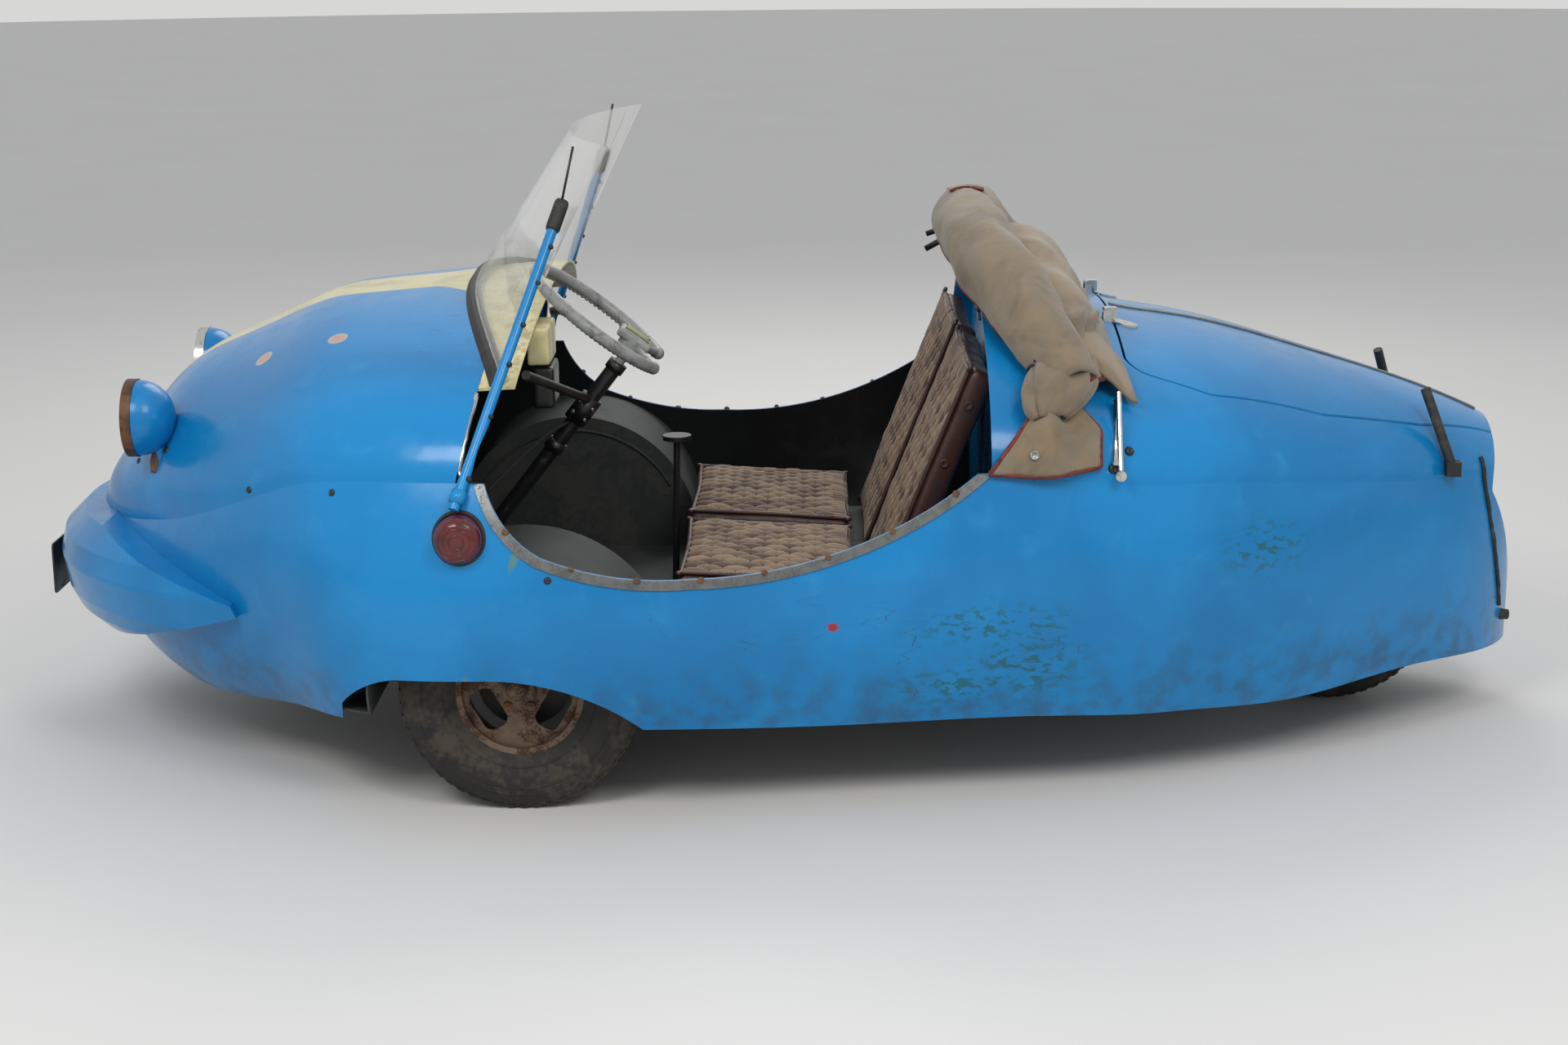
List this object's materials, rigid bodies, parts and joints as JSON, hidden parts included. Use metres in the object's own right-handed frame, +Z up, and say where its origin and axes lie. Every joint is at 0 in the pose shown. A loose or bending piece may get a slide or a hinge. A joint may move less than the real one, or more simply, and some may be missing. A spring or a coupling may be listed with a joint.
{
  "type": "three wheeled car",
  "caption": "Small open two-seat three wheeled car with a moulded body, steered front wheels, a rear lid and a folded hood.",
  "frame": {"origin": "on the floor under the middle of the overall length, on the centre plane", "axes": "+X towards the tail, +Y towards the car's right side, +Z up"},
  "size_m": [2.7524, 1.526, 1.109],
  "materials": {
    "body_blue": "weathered gelcoat",
    "cream": "weathered gelcoat",
    "bright_trim": "dull aluminium strip",
    "chrome": "worn chrome",
    "rubber": "matt",
    "plate_black": "matt",
    "rusty_steel": "rusty",
    "lamp_glass": "clear",
    "red_lens": "glossy",
    "screen_perspex": "clear",
    "canvas": "weathered canvas",
    "tub_grey": "rough moulding",
    "steering_grey": "worn plastic",
    "black_metal": "worn paint",
    "seat_cover": "woven cover",
    "frame_paint": "dirty paint",
    "engine_grey": "dull",
    "tyre": "worn",
    "rim_paint": "rusty paint"
  },
  "bodies": {
    "body": {"lower_shell": "body_blue", "bonnet_shell": "body_blue", "rear_shell": "body_blue", "lid_hinges": "chrome", "lid_latches": "rubber", "bumper": "body_blue", "number_plate": "plate_black", "sill_trim": "bright_trim", "headlamp_bowls": "rusty_steel", "headlamp_rims": "chrome", "headlamp_lenses": "lamp_glass", "side_lamps": "red_lens", "windscreen": "screen_perspex", "screen_seal": "rubber", "screen_posts": "body_blue", "hood": "canvas", "hood_irons": "chrome", "inner_tub": "tub_grey", "bulkhead": "body_blue", "dash": "cream", "steering_column": "black_metal", "gear_lever": "black_metal", "seat_cushion_left": "seat_cover", "seat_cushion_right": "seat_cover", "seat_back_left": "seat_cover", "seat_back_right": "seat_cover", "chassis_frame": "frame_paint", "front_axle": "frame_paint", "rear_fork": "frame_paint", "engine": "engine_grey"},
    "lid": {"engine_lid": "body_blue", "lid_ridge": "bright_trim", "lid_leaves": "chrome"},
    "knuckle_left": {"knuckle_left": "frame_paint"},
    "knuckle_right": {"knuckle_right": "frame_paint"},
    "wheel_front_left": {"tyre_front_left": "tyre", "rim_front_left": "rim_paint"},
    "wheel_front_right": {"tyre_front_right": "tyre", "rim_front_right": "rim_paint"},
    "wheel_rear": {"tyre_rear": "tyre", "rim_rear": "rim_paint"},
    "tie_rod": {"tie_rod": "frame_paint"},
    "steering_wheel": {"steering_wheel": "steering_grey"}
  },
  "joints": [
    {"name": "lid_open", "type": "hinge", "parent": "body", "child": "lid", "pos_m": [0.58615, 0, 0.78], "axis": [0, -1, 0], "range_deg": [0, 60]},
    {"name": "steer_left", "type": "hinge", "parent": "body", "child": "knuckle_left", "pos_m": [-0.44685, -0.53, 0.2075], "axis": [0, 0, 1], "range_deg": [-20, 20]},
    {"name": "steer_right", "type": "hinge", "parent": "body", "child": "knuckle_right", "pos_m": [-0.44685, 0.53, 0.2075], "axis": [0, 0, 1], "range_deg": [-20, 20]},
    {"name": "tie_rod_shift", "type": "slide", "parent": "body", "child": "tie_rod", "axis": [0, 1, 0], "range_m": [-0.0325, 0.0325]},
    {"name": "steering_turn", "type": "hinge", "parent": "body", "child": "steering_wheel", "pos_m": [-0.26885, -0.25, 0.739], "axis": [0.6166, 0, 0.7873], "range_deg": [-120, 120]},
    {"name": "roll_front_left", "type": "hinge", "parent": "knuckle_left", "child": "wheel_front_left", "pos_m": [-0.44685, -0.605, 0.2075], "axis": [0, 1, 0], "continuous": true},
    {"name": "roll_front_right", "type": "hinge", "parent": "knuckle_right", "child": "wheel_front_right", "pos_m": [-0.44685, 0.605, 0.2075], "axis": [0, 1, 0], "continuous": true},
    {"name": "roll_rear", "type": "hinge", "parent": "body", "child": "wheel_rear", "pos_m": [1.04315, 0, 0.2075], "axis": [0, 1, 0], "continuous": true}
  ],
  "couplings": [
    {"joint": "steer_right", "follows": "steer_left", "ratio": 1},
    {"joint": "tie_rod_shift", "follows": "steer_left", "m_per_rad": 0.092},
    {"joint": "steering_turn", "follows": "steer_left", "ratio": 6}
  ]
}
